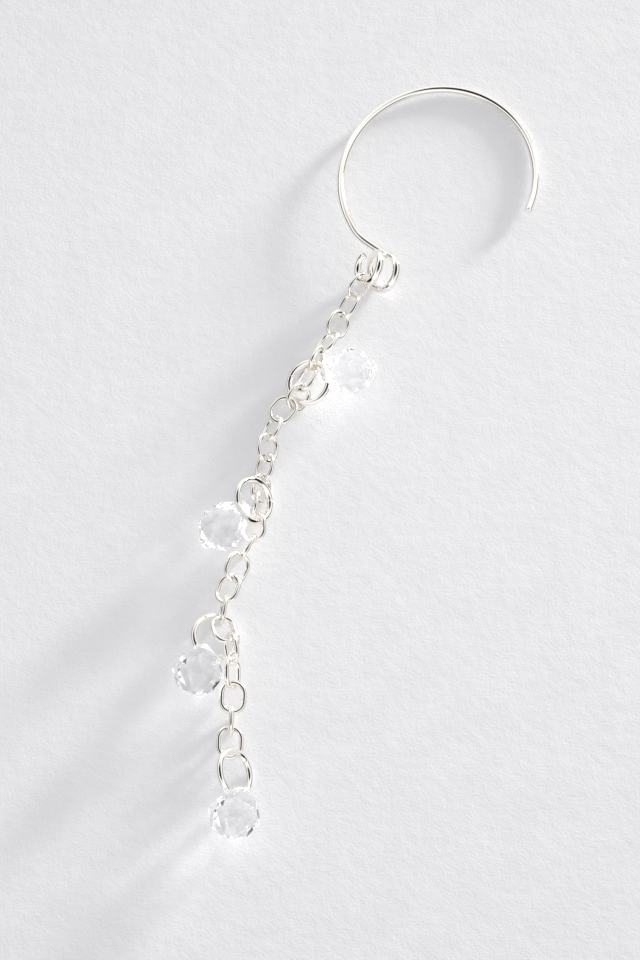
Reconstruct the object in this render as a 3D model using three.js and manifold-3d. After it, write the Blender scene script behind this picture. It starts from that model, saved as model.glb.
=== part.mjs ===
// A hook drop earring lying on a flat surface: a round-wire ear hook with a coiled eye,
// a fine cable chain, and four clear faceted drops on jump rings. Millimetres, +Z up.
// The surface is z = 0, and ORIGIN is the middle of the whole earring's plan in the
// layout that the places below are given in.
import * as THREE from "three";
import { ConvexGeometry } from "three/addons/geometries/ConvexGeometry.js";
import { mergeVertices } from "three/addons/utils/BufferGeometryUtils.js";
import Module from "manifold-3d";

// ---- Driving dimensions -------------------------------------------------------------

const ORIGIN = [4.4, 4.25, 0];

const HOOK_WIRE = 0.8; // 20 gauge ear wire
const HOOK_SIDES = 12;
const HOOK_STEPS = 110;

// The open bow of the hook is an arc of an ellipse in plan, raised slightly at the eye.
const BOW = {
  centre: [12.1, 33.5],
  alongRadius: 11.4,
  acrossRadius: 9.8,
  turn: 70,
  tipAngle: -92.5,
  eyeAngle: 148,
  pointSpacing: 10,
};
const BOW_LOW_POINT = [19.6, 42.0]; // where the bow touches the surface
const BOW_UPHILL = [-0.69, -0.72]; // plan direction from that point to the eye
const BOW_SLOPE = 0.066;
const BOW_CLEARANCE = 0.02;

// The eye is two open loops of the same wire. It leans on the surface with its back loop.
const EYE = {
  centre: [5.63, 22.0, 2.32],
  axis: [-0.75, -0.1, 0.65],
  backRadius: 1.72,
  frontRadius: 1.6,
  spread: 2.2, // from the back loop to the front loop, along the axis
  startAngle: 150,
  leaveAngle: -40, // where the wire leaves the back loop
  arriveAngle: -310, // where it arrives in the front loop
  endAngle: -530,
  pointSpacing: 20,
};

// The fine cable chain is one tube of the links' mean thickness along its route. Its first
// link is whole, because it holds the eye of the hook.
const CHAIN_WIDTH = 1.4;
const CHAIN_SIDES = 8;
const CHAIN_STEPS = 56;
const CHAIN_ROUTE = [
  [3.3, 19.75, 1.3], [2.95, 18.5, 1.1], [1.75, 16.5, 1.2], [0.79, 14.2, 1.2],
  [-0.15, 12.6, 1.2], [-1.4, 10.5, 1.1], [-2.3, 8.2, 0.9], [-4.0, 6.9, 1.0],
  [-4.75, 4.8, 1.1], [-5.05, 2.9, 1.1], [-5.3, 0.9, 1.1], [-5.6, -1.2, 1.0],
  [-6.0, -3.3, 0.8], [-6.28, -5.4, 0.73], [-7.2, -7.9, 0.9], [-8.3, -10.1, 1.1],
  [-9.05, -12.4, 1.2], [-9.2, -14.5, 1.2], [-8.65, -16.7, 1.7], [-8.1, -18.9, 2.0],
  [-8.0, -20.9, 1.7], [-8.05, -22.8, 1.2], [-8.1, -25.0, 1.2], [-8.15, -27.1, 1.2],
  [-8.15, -28.6, 1.2],
];
const LINK_LENGTH = 3.25;
const LINK_WIDTH = 2.58;
const LINK_WIRE = 0.48;
const FIRST_LINK = {
  centre: [3.95, 20.55, 1.85],
  along: [0.63, 0.77, 0.06],
  normal: [0.66, -0.58, 0.49],
};

const RING_OUTER = 4.8;
const RING_WIRE = 0.65;
const RING_SIDES = 10;
const RING_SEGMENTS = 36;
const RING_CLEARANCE = 0.25; // round a ring where it runs through a link or a drop

// Each drop is a faceted onion shape of eight-sided rings, measured from its base point.
const DROP_FOLD = 8;
const DROP_RINGS = [
  { height: 0.0, radius: 0.3 },
  { height: 1.0, radius: 1.75 },
  { height: 2.4, radius: 2.45 },
  { height: 4.0, radius: 1.8 },
  { height: 5.2, radius: 0.95 },
  { height: 5.8, radius: 0.45 },
];
const DROP_HOLE_HEIGHT = 4.9;

// One row a jump ring with its drop. Reach is the plan bearing from the ring's centre to
// the drop's hole, heading is the bearing of the drop, and lift raises its base end.
const HANGERS = [
  { centre: [-1.1, 9.85, 1.38], normal: [-0.36, -0.15, 0.91], reach: 14, heading: 8, lift: 6 },
  { centre: [-6.3, -3.2, 2.2], normal: [0.62, -0.12, 0.66], reach: 228, heading: 220, lift: -17 },
  { centre: [-9.75, -16.7, 1.1], normal: [0.3, 0.0, 0.95], reach: 234, heading: 262, lift: 19.8 },
  { centre: [-7.7, -30.2, 1.95], normal: [0.75, 0.0, 0.6], reach: 286, heading: 256, lift: 23.5 },
];

// ---- Materials ----------------------------------------------------------------------

const silver = () =>
  new THREE.MeshStandardMaterial({ color: 0xe9e6df, roughness: 0.12, metalness: 1.0 });
const crystal = () =>
  new THREE.MeshStandardMaterial({ color: 0xf4f6f8, roughness: 0.03, metalness: 0.0 });

// ---- Solids -------------------------------------------------------------------------

const wasm = await Module();
wasm.setup();

function positionsOnly(geometry) {
  const bare = geometry.clone();
  bare.deleteAttribute("normal");
  bare.deleteAttribute("uv");
  return mergeVertices(bare, 1e-4);
}

function toSolid(geometry) {
  const merged = positionsOnly(geometry);
  return new wasm.Manifold(
    new wasm.Mesh({
      numProp: 3,
      vertProperties: new Float32Array(merged.attributes.position.array),
      triVerts: new Uint32Array(merged.index.array),
    }),
  );
}

function toGeometry(solid) {
  const mesh = solid.getMesh();
  const geometry = new THREE.BufferGeometry();
  geometry.setAttribute("position", new THREE.BufferAttribute(mesh.vertProperties, 3));
  geometry.setIndex(new THREE.BufferAttribute(mesh.triVerts, 1));
  geometry.computeVertexNormals();
  return geometry;
}

const radians = THREE.MathUtils.degToRad;

function circleShape(radius, sides) {
  const shape = new THREE.Shape();
  for (let i = 0; i < sides; i += 1) {
    const angle = (2 * Math.PI * i) / sides;
    const x = radius * Math.cos(angle);
    const y = radius * Math.sin(angle);
    if (i === 0) shape.moveTo(x, y);
    else shape.lineTo(x, y);
  }
  shape.closePath();
  return shape;
}

function tubeAlong(points, diameter, sides, steps) {
  const path = new THREE.CatmullRomCurve3(points, false, "centripetal");
  const section = circleShape(diameter / 2, sides);
  return new THREE.ExtrudeGeometry(section, { steps, extrudePath: path, bevelEnabled: false });
}

// ---- Ear hook -----------------------------------------------------------------------

function bowPoint(angle) {
  const along = BOW.alongRadius * Math.cos(radians(angle));
  const across = BOW.acrossRadius * Math.sin(radians(angle));
  const turn = radians(BOW.turn);
  const x = BOW.centre[0] + along * Math.cos(turn) - across * Math.sin(turn);
  const y = BOW.centre[1] + along * Math.sin(turn) + across * Math.cos(turn);
  const uphill =
    (x - BOW_LOW_POINT[0]) * BOW_UPHILL[0] + (y - BOW_LOW_POINT[1]) * BOW_UPHILL[1];
  const z = HOOK_WIRE / 2 + BOW_CLEARANCE + BOW_SLOPE * Math.max(0, uphill);
  return new THREE.Vector3(x, y, z);
}

function bowPoints() {
  const count = Math.round((BOW.eyeAngle - BOW.tipAngle) / BOW.pointSpacing);
  const points = [];
  for (let i = 0; i <= count; i += 1) {
    const share = i / count;
    points.push(bowPoint(BOW.tipAngle + share * (BOW.eyeAngle - BOW.tipAngle)));
  }
  return points;
}

function planeAxes(normal) {
  const n = new THREE.Vector3(...normal).normalize();
  const u = new THREE.Vector3(0, 0, 1).cross(n).normalize();
  const v = n.clone().cross(u);
  return { n, u, v };
}

function eyePoint(angle) {
  const { n, u, v } = planeAxes(EYE.axis);
  const way = (EYE.leaveAngle - angle) / (EYE.leaveAngle - EYE.arriveAngle);
  const share = THREE.MathUtils.smoothstep(way, 0, 1);
  const radius = THREE.MathUtils.lerp(EYE.backRadius, EYE.frontRadius, share);
  const point = new THREE.Vector3(...EYE.centre);
  point.addScaledVector(u, radius * Math.cos(radians(angle)));
  point.addScaledVector(v, radius * Math.sin(radians(angle)));
  return point.addScaledVector(n, EYE.spread * (share - 0.5));
}

function eyePoints() {
  const points = [];
  for (let angle = EYE.startAngle; angle >= EYE.endAngle; angle -= EYE.pointSpacing) {
    points.push(eyePoint(angle));
  }
  return points;
}

function earHook() {
  const points = [...bowPoints(), ...eyePoints()];
  return tubeAlong(points, HOOK_WIRE, HOOK_SIDES, HOOK_STEPS);
}

// ---- Jump rings ---------------------------------------------------------------------

const RING_MEAN = (RING_OUTER - RING_WIRE) / 2;
const HOOP_AXIS = new THREE.Vector3(0, 1, 0);

function hoop(meanRadius, wireRadius) {
  const profile = [];
  for (let i = 0; i <= RING_SIDES; i += 1) {
    const angle = (2 * Math.PI * (i % RING_SIDES)) / RING_SIDES;
    const x = meanRadius + wireRadius * Math.cos(angle);
    profile.push(new THREE.Vector2(x, wireRadius * Math.sin(angle)));
  }
  return new THREE.LatheGeometry(profile, RING_SEGMENTS);
}

function ringPlace(hanger) {
  const normal = new THREE.Vector3(...hanger.normal).normalize();
  const turn = new THREE.Quaternion().setFromUnitVectors(HOOP_AXIS, normal);
  const centre = new THREE.Vector3(...hanger.centre);
  return new THREE.Matrix4().compose(centre, turn, new THREE.Vector3(1, 1, 1));
}

function ringClearance(hanger) {
  return hoop(RING_MEAN, RING_WIRE / 2 + RING_CLEARANCE).applyMatrix4(ringPlace(hanger));
}

// ---- Chain --------------------------------------------------------------------------

function firstLink() {
  const across = (LINK_WIDTH - LINK_WIRE) / 2;
  const along = (LINK_LENGTH - LINK_WIRE) / 2;
  const link = hoop(across, LINK_WIRE / 2);
  link.scale(along / across, 1, 1);
  const normal = new THREE.Vector3(...FIRST_LINK.normal).normalize();
  const side = new THREE.Vector3(...FIRST_LINK.along).cross(normal).normalize();
  const length = normal.clone().cross(side);
  const place = new THREE.Matrix4().makeBasis(length, normal, side);
  place.setPosition(new THREE.Vector3(...FIRST_LINK.centre));
  return link.applyMatrix4(place);
}

function chain() {
  const points = CHAIN_ROUTE.map((place) => new THREE.Vector3(...place));
  const tube = tubeAlong(points, CHAIN_WIDTH, CHAIN_SIDES, CHAIN_STEPS);
  let solid = toSolid(tube).add(toSolid(firstLink()));
  for (const hanger of HANGERS) {
    solid = solid.subtract(toSolid(ringClearance(hanger)));
  }
  return toGeometry(solid);
}

// ---- Drops --------------------------------------------------------------------------

function dropBody() {
  const points = [];
  DROP_RINGS.forEach((ring, row) => {
    for (let i = 0; i < DROP_FOLD; i += 1) {
      const angle = (2 * Math.PI * (i + (row % 2) / 2)) / DROP_FOLD;
      const x = ring.radius * Math.cos(angle);
      const y = ring.radius * Math.sin(angle);
      points.push(new THREE.Vector3(x, y, ring.height));
    }
  });
  return new ConvexGeometry(points);
}

function holePoint(hanger) {
  const { n } = planeAxes(hanger.normal);
  const bearing = radians(hanger.reach);
  const out = new THREE.Vector3(Math.cos(bearing), Math.sin(bearing), 0);
  out.z = -(n.x * out.x + n.y * out.y) / n.z;
  return new THREE.Vector3(...hanger.centre).addScaledVector(out.normalize(), RING_MEAN);
}

function dropPlace(hanger) {
  const heading = radians(hanger.heading);
  const lift = radians(hanger.lift);
  const axis = new THREE.Vector3(
    -Math.cos(heading) * Math.cos(lift),
    -Math.sin(heading) * Math.cos(lift),
    -Math.sin(lift),
  );
  const across = new THREE.Vector3(0, 0, 1).cross(axis).normalize();
  const upward = axis.clone().cross(across);
  const place = new THREE.Matrix4().makeBasis(across, upward, axis);
  place.setPosition(holePoint(hanger).addScaledVector(axis, -DROP_HOLE_HEIGHT));
  return place;
}

function drop(hanger) {
  const bore = ringClearance(hanger).applyMatrix4(dropPlace(hanger).invert());
  return toGeometry(toSolid(dropBody()).subtract(toSolid(bore)));
}

// ---- Assembly -----------------------------------------------------------------------

const earring = new THREE.Group();
earring.position.set(...ORIGIN).negate();

function addPiece(name, geometry, material, place) {
  const mesh = new THREE.Mesh(geometry, material);
  mesh.name = name;
  if (place) mesh.applyMatrix4(place);
  earring.add(mesh);
}

addPiece("ear_hook", earHook(), silver());
addPiece("chain", chain(), silver());
HANGERS.forEach((hanger, i) => {
  const ring = hoop(RING_MEAN, RING_WIRE / 2);
  addPiece(`jump_ring_${i + 1}`, ring, silver(), ringPlace(hanger));
  addPiece(`crystal_drop_${i + 1}`, drop(hanger), crystal(), dropPlace(hanger));
});

export default earring;
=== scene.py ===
# %% [markdown]
# # A hook drop earring, lying on a pale surface
#
# The earring is a round-wire ear hook with a coiled eye, a fine cable chain of 24 oval
# links, and four clear faceted drops that hang from the chain on round jump rings. It
# lies loose, as it was put down.
#
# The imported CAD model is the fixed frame. Everything below is built around it, in
# metres, and nothing of it is moved.

# %% Load the frame
import math

import bmesh
import bpy
import numpy as np
from mathutils import Matrix, Vector


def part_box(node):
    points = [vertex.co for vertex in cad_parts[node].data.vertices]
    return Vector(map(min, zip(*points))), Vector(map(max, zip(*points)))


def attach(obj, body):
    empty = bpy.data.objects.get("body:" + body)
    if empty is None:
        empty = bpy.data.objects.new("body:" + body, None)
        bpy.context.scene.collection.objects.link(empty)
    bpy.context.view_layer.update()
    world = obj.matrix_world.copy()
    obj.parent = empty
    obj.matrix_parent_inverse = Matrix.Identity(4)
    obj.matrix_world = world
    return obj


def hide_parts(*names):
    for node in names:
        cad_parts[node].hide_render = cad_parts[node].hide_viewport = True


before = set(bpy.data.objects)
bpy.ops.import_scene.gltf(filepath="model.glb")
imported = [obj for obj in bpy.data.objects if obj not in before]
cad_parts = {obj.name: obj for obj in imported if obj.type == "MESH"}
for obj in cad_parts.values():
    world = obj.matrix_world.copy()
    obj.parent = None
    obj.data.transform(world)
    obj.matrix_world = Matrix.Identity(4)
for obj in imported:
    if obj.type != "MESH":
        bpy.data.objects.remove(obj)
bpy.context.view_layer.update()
MM = 0.001
UP = Vector((0.0, 0.0, 1.0))
# The point of the earring's layout that is the frame's origin.
LAYOUT_MIDDLE = Vector((0.0044, 0.00425, 0.0))
print("nodes in the frame:", sorted(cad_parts))


def millimetres(values):
    """A point or a length for printing, in millimetres."""
    return [round(value / MM, 2) for value in values]


def in_frame(x, y, z):
    """A point of the earring's layout, given in metres, as a point of the frame."""
    return Vector((x, y, z)) - LAYOUT_MIDDLE


# %% [markdown]
# ## Camera
#
# The earring is seen from above its lower end, 65 degrees above the surface, with a
# long lens from a short distance. A long lens keeps the rings and links in true
# proportion. The camera aims at a point on the surface beside the middle of the chain,
# so that the frame takes in the hook at the top right and the shadows at the left.

# %% Camera
VIEW_ELEVATION = math.radians(65)
VIEW_DISTANCE = 0.230
VIEW_TARGET = in_frame(0.0, 0.0, 0.0)
VIEW_LENS = 89.25
SENSOR = 36.0

back = Vector((0.0, -math.cos(VIEW_ELEVATION), math.sin(VIEW_ELEVATION)))
bpy.ops.object.camera_add(location=VIEW_TARGET + back * VIEW_DISTANCE)
camera = bpy.context.object
camera.name = "viewing_camera"
camera.rotation_euler = (-back).to_track_quat("-Z", "Y").to_euler()
camera.data.lens = VIEW_LENS
camera.data.sensor_width = SENSOR
camera.data.clip_start = 0.01
camera.data.clip_end = 10.0
bpy.context.scene.camera = camera
print("camera at", millimetres(camera.location))

# %% [markdown]
# ## How the finishes are built
#
# A finish is a material: a tree of nodes that ends in one Principled shader. Real
# surfaces are uneven in small ways, so each finish here starts from noise. The noise is
# laid on Object coordinates, which are in metres, so its grain is the same size on
# every piece. It then drives a colour ramp, a range of roughness, or a Bump node that
# tilts the surface for the light. These helpers make those nodes.

# %% Helpers for finishes
def new_material(name):
    """A material with an empty node tree that ends in one Principled shader."""
    material = bpy.data.materials.new(name)
    material.use_nodes = True
    tree = material.node_tree
    tree.nodes.clear()
    output = tree.nodes.new("ShaderNodeOutputMaterial")
    shader = tree.nodes.new("ShaderNodeBsdfPrincipled")
    tree.links.new(shader.outputs["BSDF"], output.inputs["Surface"])
    return material, tree, shader


def noise_on(tree, scale, detail=3.0, stretch=(1.0, 1.0, 1.0)):
    """Noise on Object coordinates, as many cells a metre as scale says."""
    place = tree.nodes.new("ShaderNodeTexCoord")
    mapping = tree.nodes.new("ShaderNodeMapping")
    mapping.inputs["Scale"].default_value = stretch
    noise = tree.nodes.new("ShaderNodeTexNoise")
    noise.inputs["Scale"].default_value = scale
    noise.inputs["Detail"].default_value = detail
    tree.links.new(place.outputs["Object"], mapping.inputs["Vector"])
    tree.links.new(mapping.outputs["Vector"], noise.inputs["Vector"])
    return noise.outputs["Fac"]


def between_colours(tree, factor, first, second, low=0.35, high=0.65):
    """A colour ramp from first to second as the factor goes from low to high."""
    ramp = tree.nodes.new("ShaderNodeValToRGB")
    ramp.color_ramp.elements[0].position = low
    ramp.color_ramp.elements[0].color = first
    ramp.color_ramp.elements[1].position = high
    ramp.color_ramp.elements[1].color = second
    tree.links.new(factor, ramp.inputs["Fac"])
    return ramp.outputs["Color"]


def between_values(tree, factor, first, second, low=0.3, high=0.7):
    """A number from first to second as the factor goes from low to high."""
    spread = tree.nodes.new("ShaderNodeMapRange")
    spread.inputs["From Min"].default_value = low
    spread.inputs["From Max"].default_value = high
    spread.inputs["To Min"].default_value = first
    spread.inputs["To Max"].default_value = second
    tree.links.new(factor, spread.inputs["Value"])
    return spread.outputs["Result"]


def bump_from(tree, height, strength, depth, under=None):
    """A Bump node, which may lie on another one."""
    bump = tree.nodes.new("ShaderNodeBump")
    bump.inputs["Strength"].default_value = strength
    bump.inputs["Distance"].default_value = depth
    tree.links.new(height, bump.inputs["Height"])
    if under is not None:
        tree.links.new(under, bump.inputs["Normal"])
    return bump.outputs["Normal"]


print("helpers for finishes: noise, colour ramps, ranges and bumps")

# %% [markdown]
# ## Surface
#
# A pale, uncoated sheet with a faint tooth. One big square is enough, because nothing
# but its grain shows. The tooth comes from two sizes of noise that only tilt the
# surface for the light, through a Bump node, so the sheet stays flat under the earring.

# %% Surface
SHEET_SIZE = 1.6
SHEET_LIGHT = (0.832, 0.830, 0.850, 1.0)
SHEET_DARK = (0.808, 0.805, 0.826, 1.0)


def uncoated_sheet():
    material, tree, shader = new_material("uncoated_sheet")
    mottle = noise_on(tree, scale=260.0, detail=4.0)
    colour = between_colours(tree, mottle, SHEET_DARK, SHEET_LIGHT)
    tree.links.new(colour, shader.inputs["Base Color"])
    coarse = noise_on(tree, scale=950.0)
    tooth = bump_from(tree, coarse, strength=0.45, depth=0.00010)
    fine = noise_on(tree, scale=4200.0, detail=2.0)
    grain = bump_from(tree, fine, strength=0.60, depth=0.00004, under=tooth)
    tree.links.new(grain, shader.inputs["Normal"])
    shader.inputs["Roughness"].default_value = 0.85
    shader.inputs["Specular IOR Level"].default_value = 0.25
    return material


bpy.ops.object.select_all(action="DESELECT")
bpy.ops.mesh.primitive_plane_add(size=SHEET_SIZE, location=(0.0, 0.0, 0.0))
sheet = bpy.context.object
sheet.name = "pale_sheet"
sheet.data.materials.append(uncoated_sheet())
print("sheet", SHEET_SIZE, "m square")

# %% [markdown]
# ## Lamps
#
# Polished metal and clear stone show nothing but what is around them, so the light is
# most of their look. A narrow, low panel at the far right draws the long soft shadows
# towards the near left: it is narrow so their sides stay fairly crisp, and near enough
# that the shadows spread like a fan. A weaker, higher and taller panel makes them fade
# with distance. A weak panel overhead, with no shadow of its own, opens them.

# %% Lamps
KEY_BEARING = math.radians(42.5)
KEY_DISTANCE = 0.85
KEY_WIDTH = 0.136
KEY_COLOUR = (1.0, 0.985, 0.955)
# One row a panel of the key light: its name, elevation in degrees, height and power.
KEY_PANELS = [
    ("low_side_panel", 8.5, 0.136, 8.50),
    ("upper_side_panel", 17.0, 0.204, 0.87),
]
FILL_OFFSET = Vector((-0.002, -0.008, 0.16))
FILL_WIDTH = 0.10
FILL_POWER = 0.072
FILL_COLOUR = (0.99, 0.99, 1.0)


def pointing(bearing, elevation):
    """A direction from a bearing in plan and an angle above the surface."""
    flat = math.cos(elevation)
    return Vector(
        (math.cos(bearing) * flat, math.sin(bearing) * flat, math.sin(elevation))
    )


def panel(name, place, aim, width, height, power, colour):
    """A rectangular soft light that faces the aim point, its height upright."""
    bpy.ops.object.light_add(type="AREA", location=place)
    lamp = bpy.context.object
    lamp.name = name
    lamp.rotation_euler = (aim - place).to_track_quat("-Z", "Y").to_euler()
    lamp.data.shape = "RECTANGLE"
    lamp.data.size = width
    lamp.data.size_y = height
    lamp.data.energy = power
    lamp.data.color = colour
    lamp.visible_camera = False
    return lamp


for name, elevation, height, power in KEY_PANELS:
    direction = pointing(KEY_BEARING, math.radians(elevation))
    place = VIEW_TARGET + direction * KEY_DISTANCE
    panel(name, place, VIEW_TARGET, KEY_WIDTH, height, power, KEY_COLOUR)
overhead = panel(
    "overhead_panel", VIEW_TARGET + FILL_OFFSET, VIEW_TARGET,
    FILL_WIDTH, FILL_WIDTH, FILL_POWER, FILL_COLOUR,
)
overhead.visible_glossy = False
overhead.visible_transmission = False
overhead.data.use_shadow = False
# Nothing mirrors this panel, so one way of sampling it is enough.
overhead.data.cycles.use_multiple_importance_sampling = False
print("key panels:", len(KEY_PANELS), "at", KEY_DISTANCE, "m")

# %% [markdown]
# ## Room
#
# The room is the world's background, and a Light Path node lets it look different to
# each thing that asks. For the sheet it is even white. The metal and the stones show a
# brighter room with two dim places in it, a round one overhead, as a lens would be, and
# a narrow belt just above the horizon. These draw the thin dark lines along the wire
# and the few dark facets in the drops. A stone gathers light, so seen through one the
# room is brighter again and its belt is paler.

# %% Helpers for mixing
def feed(tree, value, slot):
    """Links an output to an input, or writes a plain value in it."""
    if isinstance(value, bpy.types.NodeSocket):
        tree.links.new(value, slot)
    else:
        slot.default_value = value


def calculated(tree, operation, *values, clamp=False):
    """The output of a Math node on other outputs or plain numbers."""
    node = tree.nodes.new("ShaderNodeMath")
    node.operation = operation
    node.use_clamp = clamp
    for value, slot in zip(values, node.inputs):
        feed(tree, value, slot)
    return node.outputs["Value"]


def mixed_colours(tree, blend, share, first, second):
    """The output of a Mix node set to colours."""
    mix = tree.nodes.new("ShaderNodeMix")
    mix.data_type = "RGBA"
    mix.blend_type = blend
    first_slot, second_slot = [slot for slot in mix.inputs if slot.type == "RGBA"]
    feed(tree, share, mix.inputs["Factor"])
    feed(tree, first, first_slot)
    feed(tree, second, second_slot)
    return next(output for output in mix.outputs if output.type == "RGBA")


def mixed_shaders(tree, share, first, second):
    """The output of a Mix Shader node."""
    mix = tree.nodes.new("ShaderNodeMixShader")
    for value, slot in zip((share, first, second), mix.inputs):
        feed(tree, value, slot)
    return mix.outputs["Shader"]


print("helpers for mixing: numbers, colours and shaders")

# %% Room
WHITE = (1.0, 1.0, 1.0, 1.0)
ROOM_LIGHT = 0.545  # what lights the sheet
ROOM_SEEN = 0.82  # what shows past the edge of the sheet
ROOM_SEEN_COLOUR = (1.0, 1.0, 1.02, 1.0)
ROOM_MIRRORED = 1.08  # what metal and stone mirror
STONE_GAIN = 0.75  # how much more the room gives through a stone
STONE_BELT_PALING = 0.65  # how much of the dim belt is lost through a stone
LENS_DIRECTION = Vector((-0.10, -0.03, 0.99)).normalized()
# Rows of a position and a brightness: the belt up from the horizon, the share of the
# belt out to the sides, and the lens as its direction comes near.
BELT_UPWARDS = [(0.0, 0.8), (0.01, 0.02), (0.27, 0.02), (0.38, 1.0), (1.0, 1.0)]
BELT_SIDEWAYS = [(0.50, 0.0), (0.78, 1.0), (1.0, 1.0)]
LENS_NEARING = [(0.0, 1.0), (0.74, 1.0), (0.80, 0.66), (0.87, 0.55), (0.905, 0.01)]


def grey_ramp(tree, factor, stops):
    """A colour ramp of greys, from rows of a position and a brightness."""
    ramp = tree.nodes.new("ShaderNodeValToRGB")
    elements = ramp.color_ramp.elements
    for position, _ in stops[1:-1]:
        elements.new(position)
    for element, (position, grey) in zip(elements, stops):
        element.position = position
        element.color = (grey, grey, grey, 1.0)
    tree.links.new(factor, ramp.inputs["Fac"])
    return ramp.outputs["Color"]


def room_background(tree, strength, colour):
    background = tree.nodes.new("ShaderNodeBackground")
    feed(tree, strength, background.inputs["Strength"])
    feed(tree, colour, background.inputs["Color"])
    return background.outputs["Background"]


def mirrored_room(tree, through):
    """The brighter room and its two dim places, as metal and stone show them."""
    direction = tree.nodes.new("ShaderNodeTexCoord").outputs["Generated"]
    parts = tree.nodes.new("ShaderNodeSeparateXYZ")
    tree.links.new(direction, parts.inputs["Vector"])
    belt = grey_ramp(tree, parts.outputs["Z"], BELT_UPWARDS)
    sideways = calculated(tree, "ABSOLUTE", parts.outputs["X"])
    at_the_sides = grey_ramp(tree, sideways, BELT_SIDEWAYS)
    kept = calculated(tree, "MULTIPLY_ADD", through, -STONE_BELT_PALING, 1.0)
    share = calculated(tree, "MULTIPLY", at_the_sides, kept)
    room = mixed_colours(tree, "MIX", share, WHITE, belt)
    towards = tree.nodes.new("ShaderNodeVectorMath")
    towards.operation = "DOT_PRODUCT"
    towards.inputs[1].default_value = LENS_DIRECTION
    tree.links.new(direction, towards.inputs[0])
    lens = grey_ramp(tree, towards.outputs["Value"], LENS_NEARING)
    room = mixed_colours(tree, "MULTIPLY", 1.0, room, lens)
    strength = calculated(tree, "MULTIPLY_ADD", through, STONE_GAIN, ROOM_MIRRORED)
    return room_background(tree, strength, room)


def surroundings():
    """Even white for the sheet, and the mirrored room for metal and stone."""
    world = bpy.data.worlds.new("white_room")
    world.use_nodes = True
    # An even room needs no map of where its light comes from.
    world.cycles.sampling_method = "NONE"
    tree = world.node_tree
    tree.nodes.clear()
    output = tree.nodes.new("ShaderNodeOutputWorld")
    path = tree.nodes.new("ShaderNodeLightPath").outputs
    through = path["Is Transmission Ray"]
    sharp = calculated(tree, "MAXIMUM", path["Is Glossy Ray"], through)
    even = room_background(tree, ROOM_LIGHT, WHITE)
    mirrored = mirrored_room(tree, through)
    seen = room_background(tree, ROOM_SEEN, ROOM_SEEN_COLOUR)
    lighting = mixed_shaders(tree, sharp, even, mirrored)
    room = mixed_shaders(tree, path["Is Camera Ray"], lighting, seen)
    tree.links.new(room, output.inputs["Surface"])
    return world


bpy.context.scene.world = surroundings()
bpy.context.scene.view_settings.view_transform = "Standard"
print("world:", bpy.context.scene.world.name)

# %% [markdown]
# ## Polished silver
#
# All the metal is one finish: bright polished silver. A mirror of one even colour looks
# like plastic chrome, so three things are uneven. The colour drifts a little between
# clean silver and a faint warm bloom, the roughness drifts where fingers have been, and
# a very shallow ripple and fine polishing lines bend the reflections.

# %% Polished silver
SILVER_CLEAN = (0.965, 0.945, 0.905, 1.0)
SILVER_BLOOM = (0.925, 0.885, 0.820, 1.0)


def polished_silver():
    material, tree, shader = new_material("polished_silver")
    bloom = noise_on(tree, scale=420.0, detail=4.0)
    colour = between_colours(
        tree, bloom, SILVER_CLEAN, SILVER_BLOOM, low=0.42, high=0.78
    )
    tree.links.new(colour, shader.inputs["Base Color"])
    wear = noise_on(tree, scale=1500.0, detail=5.0)
    roughness = between_values(tree, wear, 0.03, 0.10)
    tree.links.new(roughness, shader.inputs["Roughness"])
    waves = noise_on(tree, scale=1300.0, detail=2.0)
    ripple = bump_from(tree, waves, strength=0.25, depth=0.000015)
    lines = noise_on(tree, scale=9000.0, detail=2.0, stretch=(1.0, 0.12, 1.0))
    polish = bump_from(tree, lines, strength=0.12, depth=0.000004, under=ripple)
    tree.links.new(polish, shader.inputs["Normal"])
    shader.inputs["Metallic"].default_value = 1.0
    return material


silver = polished_silver()
print("material", silver.name)

# %% [markdown]
# ## Clear crystal
#
# The drops are clear cut stone. The shader is glass with the refraction of quartz, and
# a real stone's small faults: the polish drifts slightly, and faint veils inside are
# suggested by a drift in colour too weak to see as colour. The drilled hole is another
# finish, because a drill leaves it frosted.
#
# A real stone bends the lamps' light and still passes most of it on, so its shadow is
# pale. In a render, a glass surface blocks the lamps altogether. So each surface is
# mixed with a clear one, for the rays that ask whether a lamp is in sight, and a share
# of the lamps' light goes straight through.

# %% Clear crystal and its drilled hole
QUARTZ_IOR = 1.544
STONE_VEIL = (0.980, 0.988, 1.0, 1.0)
FROST_LIGHT = (0.98, 0.98, 0.98, 1.0)
FROST_DARK = (0.90, 0.91, 0.93, 1.0)
LAMP_SHARE = 0.55  # of a lamp's light, straight through each surface of a stone
ROOM_SHARE = 0.15  # of the room's light on its way to the sheet
STONE_BOUNCES = 20  # light turns many times inside a cut stone before it leaves


def clear_crystal():
    material, tree, shader = new_material("clear_crystal")
    veil = noise_on(tree, scale=500.0)
    colour = between_colours(tree, veil, WHITE, STONE_VEIL, low=0.40, high=0.80)
    tree.links.new(colour, shader.inputs["Base Color"])
    polish = noise_on(tree, scale=1300.0)
    roughness = between_values(tree, polish, 0.0, 0.03)
    tree.links.new(roughness, shader.inputs["Roughness"])
    shader.inputs["Transmission Weight"].default_value = 1.0
    shader.inputs["IOR"].default_value = QUARTZ_IOR
    return material


def frosted_hole():
    material, tree, shader = new_material("frosted_hole")
    grain = noise_on(tree, scale=6000.0)
    colour = between_colours(tree, grain, FROST_LIGHT, FROST_DARK)
    tree.links.new(colour, shader.inputs["Base Color"])
    roughness = between_values(tree, grain, 0.35, 0.60)
    tree.links.new(roughness, shader.inputs["Roughness"])
    shader.inputs["Transmission Weight"].default_value = 1.0
    shader.inputs["IOR"].default_value = QUARTZ_IOR
    return material


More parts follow.
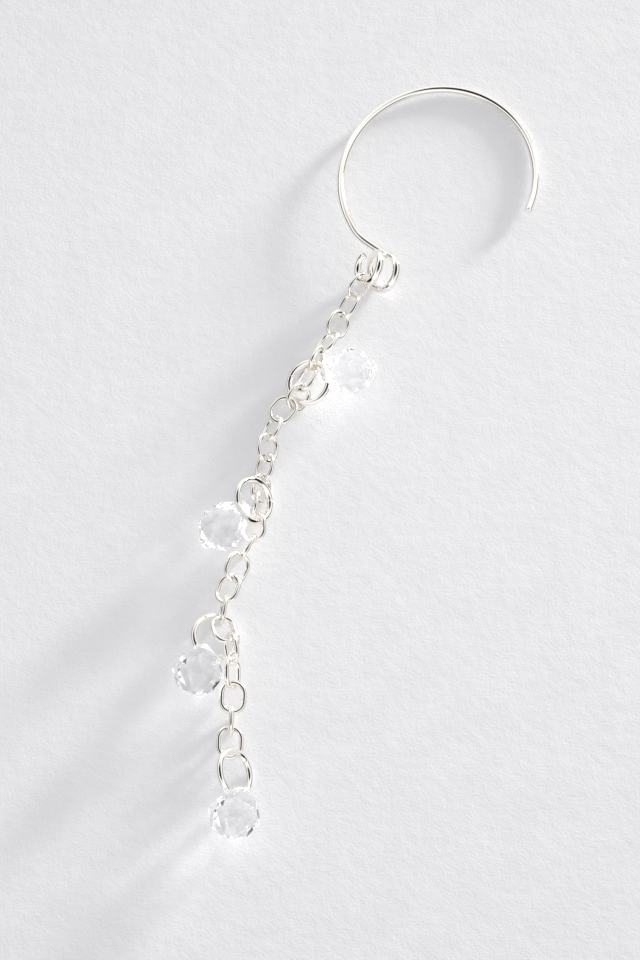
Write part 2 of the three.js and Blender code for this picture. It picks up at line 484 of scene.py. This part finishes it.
def let_lamps_through(material):
    """Lets shares of the lamps' and the room's light straight through each surface."""
    tree = material.node_tree
    output = tree.nodes["Material Output"]
    solid = output.inputs["Surface"].links[0].from_socket
    path = tree.nodes.new("ShaderNodeLightPath").outputs
    to_lamp = path["Is Shadow Ray"]
    clear = tree.nodes.new("ShaderNodeBsdfTransparent")
    passed = calculated(tree, "MULTIPLY_ADD", to_lamp, LAMP_SHARE - 1.0, 1.0)
    tree.links.new(passed, clear.inputs["Color"])
    share = calculated(
        tree, "MULTIPLY_ADD", path["Is Diffuse Ray"], ROOM_SHARE, to_lamp, clamp=True
    )
    mix = mixed_shaders(tree, share, solid, clear.outputs["BSDF"])
    tree.links.new(mix, output.inputs["Surface"])
    return material


crystal = let_lamps_through(clear_crystal())
drill_frost = let_lamps_through(frosted_hole())
light_paths = bpy.context.scene.cycles
light_paths.max_bounces = STONE_BOUNCES
light_paths.glossy_bounces = STONE_BOUNCES
light_paths.transmission_bounces = STONE_BOUNCES
light_paths.transparent_max_bounces = STONE_BOUNCES
print("materials", crystal.name, drill_frost.name)

# %% [markdown]
# ## Working in edit mode
#
# Every part of this earring is wire or a turned shape, so a few moves do nearly all of
# it. A disc is added at the wire's cut end, and then it is drawn along: extrude a step,
# turn the new end to face along the route, and again. Turning is done as three plain
# turns about X, Y and Z, because that is what the rotate operator can do here, and its
# sense is reversed when Blender has no window.

# %% Selecting and turning
LEAST_TURN = 1e-7  # radians: smaller turns are left out


def select_nothing():
    if bpy.context.object is not None and bpy.context.object.mode != "OBJECT":
        bpy.ops.object.mode_set(mode="OBJECT")
    bpy.ops.object.select_all(action="DESELECT")


def select_only(piece):
    select_nothing()
    piece.select_set(True)
    bpy.context.view_layer.objects.active = piece


def select_faces(piece, wanted):
    """Selects the faces that pass a test, in edit mode, and counts them."""
    bpy.ops.mesh.select_all(action="DESELECT")
    mesh = bmesh.from_edit_mesh(piece.data)
    found = [face for face in mesh.faces if wanted(face)]
    for face in found:
        face.select_set(True)
    bmesh.update_edit_mesh(piece.data)
    return len(found)


def turn_selected(turn, pivot):
    """Turns what is selected in edit mode by a quaternion about a point."""
    for axis, angle in zip("XYZ", turn.to_euler("XYZ")):
        if abs(angle) > LEAST_TURN:
            bpy.ops.transform.rotate(
                value=-angle, orient_axis=axis, center_override=pivot
            )


print("helpers for selecting and turning, down to", LEAST_TURN, "radians")

# %% Drawing a wire
WIRE_JOIN = 1e-7  # points nearer than this are one point
SMOOTH_ANGLE = 35  # faces that meet at less than this many degrees are shaded as one


def wire_end(name, radius, sides, place, direction):
    """A filled disc that faces along the wire. It is left selected in edit mode."""
    select_nothing()
    bpy.ops.mesh.primitive_circle_add(
        vertices=sides,
        radius=radius,
        fill_type="NGON",
        location=place,
        rotation=direction.to_track_quat("Z", "Y").to_euler(),
    )
    piece = bpy.context.object
    piece.name = name
    piece.data.name = name
    bpy.ops.object.transform_apply(location=True, rotation=True, scale=True)
    bpy.ops.object.mode_set(mode="EDIT")
    bpy.ops.mesh.select_mode(type="FACE")
    bpy.ops.mesh.select_all(action="SELECT")
    return piece


def directions_along(points):
    """The direction of a route at each of its points."""
    last = len(points) - 1
    spans = [points[min(i + 1, last)] - points[max(i - 1, 0)] for i in range(last + 1)]
    return [span.normalized() for span in spans]


def draw_wire(name, points, radius, sides):
    """A round wire along a route. Both ends are flat cuts."""
    directions = directions_along(points)
    piece = wire_end(name, radius, sides, points[0], directions[0])
    for i in range(1, len(points)):
        step = points[i] - points[i - 1]
        bpy.ops.mesh.extrude_region_move(TRANSFORM_OT_translate={"value": step})
        turn_selected(directions[i - 1].rotation_difference(directions[i]), points[i])
    return piece


def soften_cut_ends(piece, radius, width):
    """Bevels the rims of a wire's flat end faces, far larger than its other faces."""
    smallest_cap = 2.0 * radius * radius
    caps = select_faces(piece, lambda face: face.calc_area() > smallest_cap)
    bpy.ops.mesh.region_to_loop()
    bpy.ops.mesh.bevel(offset=width, segments=3, affect="EDGES")
    return caps


def finish_shape(piece, smooth_angle=SMOOTH_ANGLE):
    """Joins doubles, points the faces outwards and leaves edit mode."""
    bpy.ops.mesh.select_mode(type="VERT")
    bpy.ops.mesh.select_all(action="SELECT")
    bpy.ops.mesh.remove_doubles(threshold=WIRE_JOIN)
    bpy.ops.mesh.normals_make_consistent(inside=False)
    bpy.ops.object.mode_set(mode="OBJECT")
    bpy.ops.object.shade_smooth_by_angle(angle=math.radians(smooth_angle))


print("helpers for wire, shaded smooth below", SMOOTH_ANGLE, "degrees")

# %% Copies and their places
def own_copy(piece, name):
    """A copy of a piece with a mesh of its own."""
    select_only(piece)
    bpy.ops.object.duplicate(linked=False)
    copy = bpy.context.object
    copy.name = name
    copy.data.name = name
    return copy


def put_in_place(piece, matrix):
    """Moves a piece and writes its place into its mesh, so its object stays at zero."""
    select_only(piece)
    piece.matrix_world = matrix
    bpy.ops.object.transform_apply(location=True, rotation=True, scale=True)


def discard(piece):
    """Removes a pattern piece once its copies are made."""
    select_only(piece)
    bpy.ops.object.delete()


def axes_matrix(first, second, third, place):
    """A place whose X, Y and Z axes point along three directions."""
    matrix = Matrix((first, second, third)).transposed().to_4x4()
    matrix.translation = place
    return matrix


print("helpers for copies, each with a mesh of its own")

# %% [markdown]
# ## Ear hook
#
# One length of round wire, 0.8 mm thick, bent into an open bow that goes through the
# ear, then wound nearly twice round a pin to make the eye. The bow is an arc of an
# ellipse, low at its far side and a little higher at the eye. The eye is an open coil
# that leans on the surface. A curve with a round bevel could make this wire, but
# drawing a disc along the route keeps its end cuts and its faces in hand.

# %% Measures of the hook
HOOK_WIRE = 0.0008
BOW_CENTRE = (0.0121, 0.0335)
BOW_ALONG = 0.0114
BOW_ACROSS = 0.0098
BOW_TURN = math.radians(70)
BOW_TIP_ANGLE = -92.5  # degrees round the bow's ellipse, as are the next two
BOW_EYE_ANGLE = 148.0
BOW_STEP = 10.0
BOW_LOW_POINT = (0.0196, 0.0420)
BOW_UPHILL = (-0.69, -0.72)
BOW_SLOPE = 0.066
BOW_CLEARANCE = 0.00002
EYE_CENTRE = (0.00563, 0.0220, 0.00232)
EYE_AXIS = Vector((-0.75, -0.10, 0.65)).normalized()
EYE_BACK_RADIUS = 0.00172
EYE_FRONT_RADIUS = 0.00160
EYE_SPREAD = 0.00220
EYE_START = 150.0  # degrees round the eye's pin, as are the next three
EYE_END = -530.0
EYE_CROSSING = (-40.0, -310.0)  # where the wire passes from the back loop to the front
EYE_STEP = 20.0
print("bow, mm along and across:", millimetres([2 * BOW_ALONG, 2 * BOW_ACROSS]))

# %% Route of the hook's wire
HOOK_STEP = 0.00028
CURVE_STEPS = 24  # between two points that a smooth curve passes through


def bow_point(angle):
    """A point of the bow's centre line, at an angle round its ellipse."""
    along = BOW_ALONG * math.cos(math.radians(angle))
    across = BOW_ACROSS * math.sin(math.radians(angle))
    x = BOW_CENTRE[0] + along * math.cos(BOW_TURN) - across * math.sin(BOW_TURN)
    y = BOW_CENTRE[1] + along * math.sin(BOW_TURN) + across * math.cos(BOW_TURN)
    uphill = (x - BOW_LOW_POINT[0]) * BOW_UPHILL[0]
    uphill += (y - BOW_LOW_POINT[1]) * BOW_UPHILL[1]
    z = HOOK_WIRE / 2 + BOW_CLEARANCE + BOW_SLOPE * max(0.0, uphill)
    return in_frame(x, y, z)


def coil_point(angle):
    """A point of the eye: a back loop, a slow crossing, and a front loop."""
    level = UP.cross(EYE_AXIS).normalized()
    upright = EYE_AXIS.cross(level)
    leave, arrive = EYE_CROSSING
    share = min(1.0, max(0.0, (leave - angle) / (leave - arrive)))
    share = share * share * (3 - 2 * share)
    radius = EYE_BACK_RADIUS + share * (EYE_FRONT_RADIUS - EYE_BACK_RADIUS)
    point = in_frame(*EYE_CENTRE) + EYE_AXIS * EYE_SPREAD * (share - 0.5)
    point += level * radius * math.cos(math.radians(angle))
    return point + upright * radius * math.sin(math.radians(angle))


def smooth_through(points, step):
    """Evenly spaced points on a smooth curve that passes through the given ones."""
    ends = [points[0] * 2 - points[1], *points, points[-1] * 2 - points[-2]]
    fine = []
    for before, first, second, after in zip(ends, ends[1:], ends[2:], ends[3:]):
        near = math.sqrt((first - before).length)
        here = math.sqrt((second - first).length)
        far = math.sqrt((after - second).length)
        leave = (first - before) / near - (second - before) / (near + here)
        leave = (leave + (second - first) / here) * here
        arrive = (second - first) / here - (after - first) / (here + far)
        arrive = (arrive + (after - second) / far) * here
        for k in range(CURVE_STEPS):
            t = k / CURVE_STEPS
            fine.append(
                first * (2 * t**3 - 3 * t**2 + 1)
                + leave * (t**3 - 2 * t**2 + t)
                + second * (3 * t**2 - 2 * t**3)
                + arrive * (t**3 - t**2)
            )
    fine.append(points[-1])
    return evenly_spaced(fine, step)


def evenly_spaced(points, step):
    """The same route with its points the same distance apart."""
    reached = [0.0]
    for first, second in zip(points, points[1:]):
        reached.append(reached[-1] + (second - first).length)
    count = round(reached[-1] / step)
    spaced, at = [], 0
    for k in range(count + 1):
        goal = reached[-1] * k / count
        while at < len(points) - 2 and reached[at + 1] < goal:
            at += 1
        share = (goal - reached[at]) / (reached[at + 1] - reached[at])
        spaced.append(points[at].lerp(points[at + 1], min(1.0, share)))
    return spaced


def bow_route():
    span = BOW_EYE_ANGLE - BOW_TIP_ANGLE
    count = round(span / BOW_STEP)
    return [bow_point(BOW_TIP_ANGLE + span * i / count) for i in range(count + 1)]


def coil_route():
    count = int((EYE_START - EYE_END) / EYE_STEP)
    return [coil_point(EYE_START - EYE_STEP * i) for i in range(count + 1)]


hook_route = smooth_through([*bow_route(), *coil_route()], HOOK_STEP)
print("hook route points:", len(hook_route))

# %% Ear hook
HOOK_SIDES = 20
HOOK_END_BEVEL = 0.00006

hook = draw_wire("ear_hook_wire", hook_route, HOOK_WIRE / 2, HOOK_SIDES)
caps = soften_cut_ends(hook, HOOK_WIRE / 2, HOOK_END_BEVEL)
finish_shape(hook)
hook.data.materials.append(silver)
low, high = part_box("ear_hook")
print("hook faces:", len(hook.data.polygons), "cut ends:", caps)
print("hook in CAD from", millimetres(low), "to", millimetres(high))
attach(hook, "root")
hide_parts("ear_hook")

# %% [markdown]
# ## Chain links
#
# A fine cable chain is one oval link repeated, each turned against the next. On the
# real chain, a length of wire is wound on an oval pin, sawn into rings, linked and
# soldered. Here one link is drawn by spinning a disc half a turn round each end and
# extruding it straight between, which is the same shape. Then it is copied, each copy
# with its own mesh.
#
# The copies are laid out last, when the rings and the drops that they lie against are
# in place.

# %% One chain link
LINK_LENGTH = 0.00325
LINK_WIDTH = 0.00258
LINK_WIRE = 0.00048
LINK_SIDES = 14
LINK_TURN_STEPS = 16
LINK_SMOOTH_ANGLE = 60
LINK_BEND = (LINK_WIDTH - LINK_WIRE) / 2  # the radius of the wire's middle at each end
LINK_HALF = (LINK_LENGTH - LINK_WIDTH) / 2  # half of the straight between the ends


def model_link():
    start = Vector((LINK_HALF, -LINK_BEND, 0.0))
    link = wire_end(
        "link_pattern", LINK_WIRE / 2, LINK_SIDES, start, Vector((1.0, 0.0, 0.0))
    )
    for side in (1, -1):
        bpy.ops.mesh.spin(
            steps=LINK_TURN_STEPS,
            angle=math.pi,
            center=(side * LINK_HALF, 0.0, 0.0),
            axis=(0.0, 0.0, -1.0),
        )
        bpy.ops.mesh.extrude_region_move(
            TRANSFORM_OT_translate={"value": (-side * 2 * LINK_HALF, 0.0, 0.0)}
        )
    return link


def open_the_joint(piece):
    """Deletes the two end discs where the wire closes on itself."""
    select_faces(piece, lambda face: len(face.verts) > 4)
    bpy.ops.mesh.delete(type="ONLY_FACE")


link_pattern = model_link()
open_the_joint(link_pattern)
finish_shape(link_pattern, LINK_SMOOTH_ANGLE)
print("link faces:", len(link_pattern.data.polygons))
print("link size:", millimetres(link_pattern.dimensions))

# %% [markdown]
# ## Jump rings
#
# Each drop hangs from a round ring of 0.65 mm wire, 4.8 mm across, that goes through a
# link and through the drop's hole. A jump ring is opened and closed with pliers, so it
# keeps a hairline joint. Spinning a disc not quite all the way round makes the ring
# and the joint in one move.

# %% One jump ring
RING_OUTER = 0.0048
RING_WIRE = 0.00065
RING_SIDES = 18
RING_STEPS = 72
RING_MEAN = (RING_OUTER - RING_WIRE) / 2
RING_JOINT = math.radians(0.9)
RING_END_BEVEL = 0.00002


def model_ring():
    ring = wire_end(
        "ring_pattern", RING_WIRE / 2, RING_SIDES,
        Vector((RING_MEAN, 0.0, 0.0)), Vector((0.0, 1.0, 0.0)),
    )
    bpy.ops.mesh.spin(
        steps=RING_STEPS,
        angle=2 * math.pi - RING_JOINT,
        center=(0.0, 0.0, 0.0),
        axis=(0.0, 0.0, 1.0),
    )
    soften_cut_ends(ring, RING_WIRE / 2, RING_END_BEVEL)
    return ring


ring_pattern = model_ring()
finish_shape(ring_pattern)
print("ring size:", millimetres(ring_pattern.dimensions))

# %% Rings in place
# One row a ring: its centre, the direction of its axis, the bearing of the drop's hole
# from its centre, the bearing of the drop and how far its base end is raised, with
# angles in degrees.
HANGERS = [
    ((-0.0011, 0.00985, 0.00138), (-0.36, -0.15, 0.91), 14, 8, 6),
    ((-0.0063, -0.0032, 0.0022), (0.62, -0.12, 0.66), 228, 220, -17),
    ((-0.00975, -0.0167, 0.0011), (0.3, 0.0, 0.95), 234, 262, 19.8),
    ((-0.0077, -0.0302, 0.00195), (0.75, 0.0, 0.6), 286, 256, 23.5),
]
RING_JOINT_BEARINGS = [150, 20, 120, 60]


def outward_in_ring(normal, bearing):
    """The direction in a ring's plane that has a bearing in plan."""
    out = Vector((math.cos(bearing), math.sin(bearing), 0.0))
    out.z = -(normal.x * out.x + normal.y * out.y) / normal.z
    return out.normalized()


for number, (centre, axis, _, _, _) in enumerate(HANGERS, start=1):
    normal = Vector(axis).normalized()
    out = outward_in_ring(normal, math.radians(RING_JOINT_BEARINGS[number - 1]))
    ring = own_copy(ring_pattern, f"round_jump_ring_{number}")
    put_in_place(ring, axes_matrix(out, normal.cross(out), normal, in_frame(*centre)))
    ring.data.materials.append(silver)
    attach(ring, "root")
    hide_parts(f"jump_ring_{number}")
    low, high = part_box(f"jump_ring_{number}")
    off = (low + high) / 2 - in_frame(*centre)
    print(ring.name, "off its CAD ring by", round(off.length / MM, 3), "mm")
discard(ring_pattern)

# %% [markdown]
# ## Crystal drops
#
# Each drop is a small onion shape cut from clear stone: an eight-sided base facet,
# rows of facets that swell to the girdle and close in to the neck, and a hole drilled
# through the neck for its ring. Each row is turned half a step against the last, so
# the facets between them are triangles. A disc extruded row by row makes that, and a
# narrow bevel gives each edge the tiny flat that catches the light.
#
# The hole is drilled in place, along the ring's own direction there, so that the ring
# lies free in it.

# %% One crystal blank
DROP_SIDES = 8
# One row of corners: its height and its radius.
DROP_ROWS = [
    (0.0000, 0.00030), (0.0010, 0.00175), (0.0024, 0.00245),
    (0.0040, 0.00180), (0.0052, 0.00095), (0.0058, 0.00045),
]
DROP_LENGTH = DROP_ROWS[-1][0]
DROP_HOLE_HEIGHT = 0.0049
DROP_EDGE = 0.000022
DROP_EDGE_ANGLE = math.radians(6)


def model_drop():
    drop = wire_end("drop_pattern", DROP_ROWS[0][1], DROP_SIDES, Vector(), UP)
    half_step = math.pi / DROP_SIDES
    for (height, radius), (next_height, next_radius) in zip(DROP_ROWS, DROP_ROWS[1:]):
        rise = (0.0, 0.0, next_height - height)
        bpy.ops.mesh.extrude_region_move(TRANSFORM_OT_translate={"value": rise})
        grow = next_radius / radius
        middle = (0.0, 0.0, next_height)
        bpy.ops.transform.resize(value=(grow, grow, 1.0), center_override=middle)
        bpy.ops.transform.rotate(
            value=half_step, orient_axis="Z", center_override=middle
        )
    return drop


def facet_sides(drop):
    """Splits the twisted side faces across their short diagonals."""
    select_faces(drop, lambda face: len(face.verts) == 4)
    bpy.ops.mesh.quads_convert_to_tris(quad_method="SHORTEST_DIAGONAL")


drop_pattern = model_drop()
facet_sides(drop_pattern)
bpy.ops.mesh.select_all(action="SELECT")
bpy.ops.mesh.normals_make_consistent(inside=False)
bpy.ops.object.mode_set(mode="OBJECT")
bevel = drop_pattern.modifiers.new("worn_edges", "BEVEL")
bevel.width = DROP_EDGE
bevel.segments = 1
bevel.limit_method = "ANGLE"
bevel.angle_limit = DROP_EDGE_ANGLE
bpy.ops.object.modifier_apply(modifier=bevel.name)
drop_pattern.data.materials.append(crystal)
print("drop faces:", len(drop_pattern.data.polygons))
print("drop size:", millimetres(drop_pattern.dimensions))

# %% Drops in place, drilled
HOLE_RADIUS = 0.00050
BIT_STEPS = 72
BIT_SIDES = 24


def drill(drop, place):
    """Cuts a hole with frosted walls through a drop, along its ring's own wire."""
    select_nothing()
    bpy.ops.mesh.primitive_torus_add(
        major_segments=BIT_STEPS,
        minor_segments=BIT_SIDES,
        major_radius=RING_MEAN,
        minor_radius=HOLE_RADIUS,
    )
    bit = bpy.context.object
    bit.data.materials.append(drill_frost)
    put_in_place(bit, place)
    select_only(drop)
    cut = drop.modifiers.new("drilled_hole", "BOOLEAN")
    cut.object = bit
    cut.operation = "DIFFERENCE"
    cut.solver = "EXACT"
    cut.material_mode = "TRANSFER"
    bpy.ops.object.modifier_apply(modifier=cut.name)
    discard(bit)


def drop_place(hole, heading, lift):
    """A drop's place, with its hole at a point and its base end raised by the lift."""
    axis = -pointing(heading, lift)
    across = UP.cross(axis).normalized()
    upward = axis.cross(across)
    return axes_matrix(across, upward, axis, hole - axis * DROP_HOLE_HEIGHT)


drop_places = []
for number, (centre, axis, reach, heading, lift) in enumerate(HANGERS, start=1):
    normal = Vector(axis).normalized()
    out = outward_in_ring(normal, math.radians(reach))
    hole = in_frame(*centre) + out * RING_MEAN
    drop = own_copy(drop_pattern, f"cut_crystal_{number}")
    drop_places.append(drop_place(hole, math.radians(heading), math.radians(lift)))
    put_in_place(drop, drop_places[-1])
    drill(drop, axes_matrix(out, normal.cross(out), normal, in_frame(*centre)))
    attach(drop, "root")
    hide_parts(f"crystal_drop_{number}")
    print(drop.name, "faces:", len(drop.data.polygons))
discard(drop_pattern)

# %% [markdown]
# ## The chain, laid down
#
# The links follow the chain's route. A link can't be further from its neighbour than
# the inside of a link is long, so the centres are first pulled together until every
# pair can reach.

# %% Route of the chain
CHAIN_ROUTE = [
    (0.0033, 0.01975, 0.0013), (0.00295, 0.0185, 0.0011),
    (0.00175, 0.0165, 0.0012), (0.00079, 0.0142, 0.0012),
    (-0.00015, 0.0126, 0.0012), (-0.0014, 0.0105, 0.0011),
    (-0.0023, 0.0082, 0.0009), (-0.0040, 0.0069, 0.0010),
    (-0.00475, 0.0048, 0.0011), (-0.00505, 0.0029, 0.0011),
    (-0.0053, 0.0009, 0.0011), (-0.0056, -0.0012, 0.0010),
    (-0.0060, -0.0033, 0.0008), (-0.00628, -0.0054, 0.00073),
    (-0.0072, -0.0079, 0.0009), (-0.0083, -0.0101, 0.0011),
    (-0.00905, -0.0124, 0.0012), (-0.0092, -0.0145, 0.0012),
    (-0.00865, -0.0167, 0.0017), (-0.0081, -0.0189, 0.0020),
    (-0.0080, -0.0209, 0.0017), (-0.00805, -0.0228, 0.0012),
    (-0.0081, -0.0250, 0.0012), (-0.00815, -0.0271, 0.0012),
    (-0.00815, -0.0286, 0.0012),
]
FIRST_LINK_CENTRE = (0.00395, 0.02055, 0.00185)
FIRST_LINK_ALONG = Vector((0.63, 0.77, 0.06))
FIRST_LINK_NORMAL = Vector((0.66, -0.58, 0.49))
LINK_ROLLS = [
    50, -40, 40, -45, 75, -45, 65, 10, -45, 40, -45, 50,
    -50, 20, -60, 35, -50, 88, 25, -70, 60, 10, 90, 5,
]
# Small shifts of a few links off the route, so that they lie clear of the drops.
LINK_NUDGES = {
    5: (-0.0003, 0.0, 0.0), 12: (-0.0002, 0.0, 0.0002),
    13: (-0.0001, -0.0005, 0.0012), 14: (0.0, 0.0, 0.0004),
}
LINK_SLACK = 0.00003
LINK_REACH = LINK_LENGTH - 2 * LINK_WIRE - LINK_SLACK
PULL_ROUNDS = 400


def pulled_together(centres, reach):
    """Moves neighbours towards each other until each pair is within reach."""
    centres = [centre.copy() for centre in centres]
    for _ in range(PULL_ROUNDS):
        for i in range(len(centres) - 1):
            gap = centres[i + 1] - centres[i]
            if gap.length > reach:
                pull = gap * (1 - reach / gap.length)
                share = 0.0 if i == 0 else 0.5
                centres[i] += pull * share
                centres[i + 1] -= pull * (1 - share)
    return centres


def link_place(centre, along, roll):
    """A link's place: X along the chain, Y across the link, turned by its roll."""
    side = along.cross(UP).normalized()
    upward = side.cross(along)
    across = side * math.cos(roll) + upward * math.sin(roll)
    return axes_matrix(along, across, along.cross(across), centre)


def link_places():
    """The links' places along the route, before they give way to anything."""
    route = [in_frame(*point) for point in CHAIN_ROUTE]
    for i, nudge in LINK_NUDGES.items():
        route[i] += Vector(nudge)
    centres = pulled_together([in_frame(*FIRST_LINK_CENTRE), *route[1:-1]], LINK_REACH)
    directions = directions_along([*centres, route[-1]])
    places = []
    for centre, along, roll in zip(centres, directions, LINK_ROLLS):
        places.append(link_place(centre, along, math.radians(roll)))
    normal = FIRST_LINK_NORMAL.normalized()
    across = normal.cross(FIRST_LINK_ALONG).normalized()
    along = across.cross(normal)
    places[0] = axes_matrix(along, across, normal, centres[0])
    return places


first_places = link_places()
print("links on the route:", len(first_places))

# %% [markdown]
# ## The chain, shaken down
#
# A real chain shakes down until nothing cuts into anything else. To do the same here,
# each piece is taken as a string of beads along the middle of its wire, and a drop as a
# string of beads of its own thickness. Wherever two strings are too close, the deepest
# pair of beads pushes the links apart and turns them a little. Links also push up off
# the sheet. A few hundred small pushes leave every link free.

# %% Strings of beads
LINK_BEADS = 60
STRAIGHT_BEADS = 5
RING_BEADS = 120
DROP_BEADS = 4  # between two rows of corners
BASE_SHARE = 0.6  # how far up the lowest beads of a drop stand, in their own radius


def link_middle(angle):
    """A point of a link's middle line, at an angle round one of its two ends."""
    shift = LINK_HALF if math.cos(angle) > 0 else -LINK_HALF
    return shift + LINK_BEND * math.cos(angle), LINK_BEND * math.sin(angle), 0.0


def link_beads():
    """The middle line of a link at the origin: its round ends, then its straights."""
    beads = [
        link_middle(2 * math.pi * (i + 0.5) / LINK_BEADS) for i in range(LINK_BEADS)
    ]
    for i in range(STRAIGHT_BEADS):
        x = LINK_HALF * (2 * i + 1 - STRAIGHT_BEADS) / STRAIGHT_BEADS
        beads.append((x, LINK_BEND, 0.0))
        beads.append((x, -LINK_BEND, 0.0))
    return np.array(beads)


def ring_beads(centre, axis):
    """The middle line of a jump ring, as points, with its wire's radius."""
    normal = Vector(axis).normalized()
    beads = []
    for i in range(RING_BEADS):
        turn = Matrix.Rotation(2 * math.pi * i / RING_BEADS, 3, normal)
        out = turn @ normal.orthogonal()
        beads.append(in_frame(*centre) + out.normalized() * RING_MEAN)
    return np.array(beads), np.full(len(beads), RING_WIRE / 2)


def drop_beads(place):
    """Points up the middle of a drop, with its radius at each."""
    beads = []
    radii = []
    for (height, radius), (next_height, next_radius) in zip(DROP_ROWS, DROP_ROWS[1:]):
        for i in range(DROP_BEADS):
            share = (i + 0.5) / DROP_BEADS
            own_radius = radius + share * (next_radius - radius)
            own_height = height + share * (next_height - height)
            own_height = max(own_height, BASE_SHARE * own_radius)
            own_height = min(own_height, DROP_LENGTH - own_radius)
            beads.append(place @ Vector((0.0, 0.0, own_height)))
            radii.append(own_radius)
    return np.array(beads), np.array(radii)


obstacles = [ring_beads(centre, axis) for centre, axis, _, _, _ in HANGERS]
obstacles += [drop_beads(place) for place in drop_places]
hook_beads = np.array(hook_route)
obstacles.append((hook_beads, np.full(len(hook_beads), HOOK_WIRE / 2)))
print("pieces that the links give way to:", len(obstacles))

# %% Links that give way
SETTLE_ROUNDS = 420
SETTLE_RATE = 0.6  # how much of an overlap one push takes away
SETTLE_GAP = 0.000018  # the room left between two pieces
# A push this far from the middle of a link turns it as much as it moves it.
TURN_ARM = 0.0011
NEAR_ENOUGH = 0.0024  # pieces with no bead this near a link's middle are passed over


def deepest_overlap(beads, others, clear):
    """How far two strings of beads overlap at most, where, and which way is out."""
    gaps = beads[:, None, :] - others[None, :, :]
    lengths = np.sqrt((gaps ** 2).sum(axis=2))
    depths = clear - lengths
    i, j = np.unravel_index(np.argmax(depths), depths.shape)
    if depths[i, j] <= 0:
        return None
    return depths[i, j], beads[i], others[j], gaps[i, j] / lengths[i, j]


def push(spots, turns, i, at, way, depth):
    """Moves and turns link i so that its point gives way by the depth."""
    arm = np.cross(at - spots[i], way)
    give = depth * SETTLE_RATE / (1 + arm @ arm / TURN_ARM ** 2)
    spots[i] += way * give
    twist = Vector(arm * give / TURN_ARM ** 2)
    turn = Matrix.Identity(3)
    if twist.length:
        turn = Matrix.Rotation(twist.length, 3, twist)
    turns[i] = np.array(turn) @ turns[i]


def settled(places, obstacles):
    """Lets the links give way to each other, the obstacles and the sheet."""
    line = link_beads()
    spots = np.array([place.translation for place in places])
    turns = [np.array(place.to_3x3()) for place in places]
    for _ in range(SETTLE_ROUNDS):
        for i in range(len(places)):
            beads = line @ turns[i].T + spots[i]
            for j in range(i + 1, min(i + 3, len(places))):
                others = line @ turns[j].T + spots[j]
                found = deepest_overlap(beads, others, LINK_WIRE + SETTLE_GAP)
                if found:
                    depth, at, other_at, way = found
                    push(spots, turns, i, at, way, depth / 2)
                    push(spots, turns, j, other_at, -way, depth / 2)
            for others, radii in obstacles:
                if np.linalg.norm(others - spots[i], axis=1).min() > NEAR_ENOUGH:
                    continue
                clear = radii[None, :] + LINK_WIRE / 2 + SETTLE_GAP
                found = deepest_overlap(beads, others, clear)
                if found:
                    depth, at, _, way = found
                    push(spots, turns, i, at, way, depth)
            lowest = beads[np.argmin(beads[:, 2])]
            sunk = LINK_WIRE / 2 + SETTLE_GAP - lowest[2]
            if sunk > 0:
                push(spots, turns, i, lowest, np.array(UP), sunk)
    settled_places = []
    for turn, spot in zip(turns, spots):
        place = Matrix(turn.tolist()).to_4x4()
        place.translation = Vector(spot)
        settled_places.append(place)
    return settled_places


places = settled(first_places, obstacles)
moves = [
    (place.translation - first.translation).length / MM
    for place, first in zip(places, first_places)
]
print("links moved while settling, mm:", [round(move, 2) for move in moves])

# %% Links that go through each other
LINK_LOOKS = 240  # places where a link is looked at for passing through another


def goes_through(place, other_place):
    """Whether another link's middle line passes through this link's opening."""
    into = place.inverted() @ other_place
    spots = [
        into @ Vector(link_middle(2 * math.pi * i / LINK_LOOKS))
        for i in range(LINK_LOOKS + 1)
    ]
    passes = 0
    for last, spot in zip(spots, spots[1:]):
        if (last.z > 0) != (spot.z > 0):
            middle = (last + spot) / 2
            along = max(0.0, abs(middle.x) - LINK_HALF)
            if math.hypot(along, middle.y) < LINK_BEND:
                passes += 1
    return passes % 2 == 1


linked = [goes_through(a, b) for a, b in zip(places, places[1:])]
print("links that go through the next:", sum(linked), "of", len(linked))

# %% Chain of linked copies
for number, place in enumerate(places, start=1):
    link = own_copy(link_pattern, f"chain_link_{number:02d}")
    put_in_place(link, place)
    link.data.materials.append(silver)
    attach(link, "root")
    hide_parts("chain")
discard(link_pattern)
print("chain links:", len(places))

# %% [markdown]
# ## The end
# #
# # The finished pieces are built to stay within the CAD model's box. Last, nothing
# # is left selected.

# %% Nothing left selected
select_nothing()
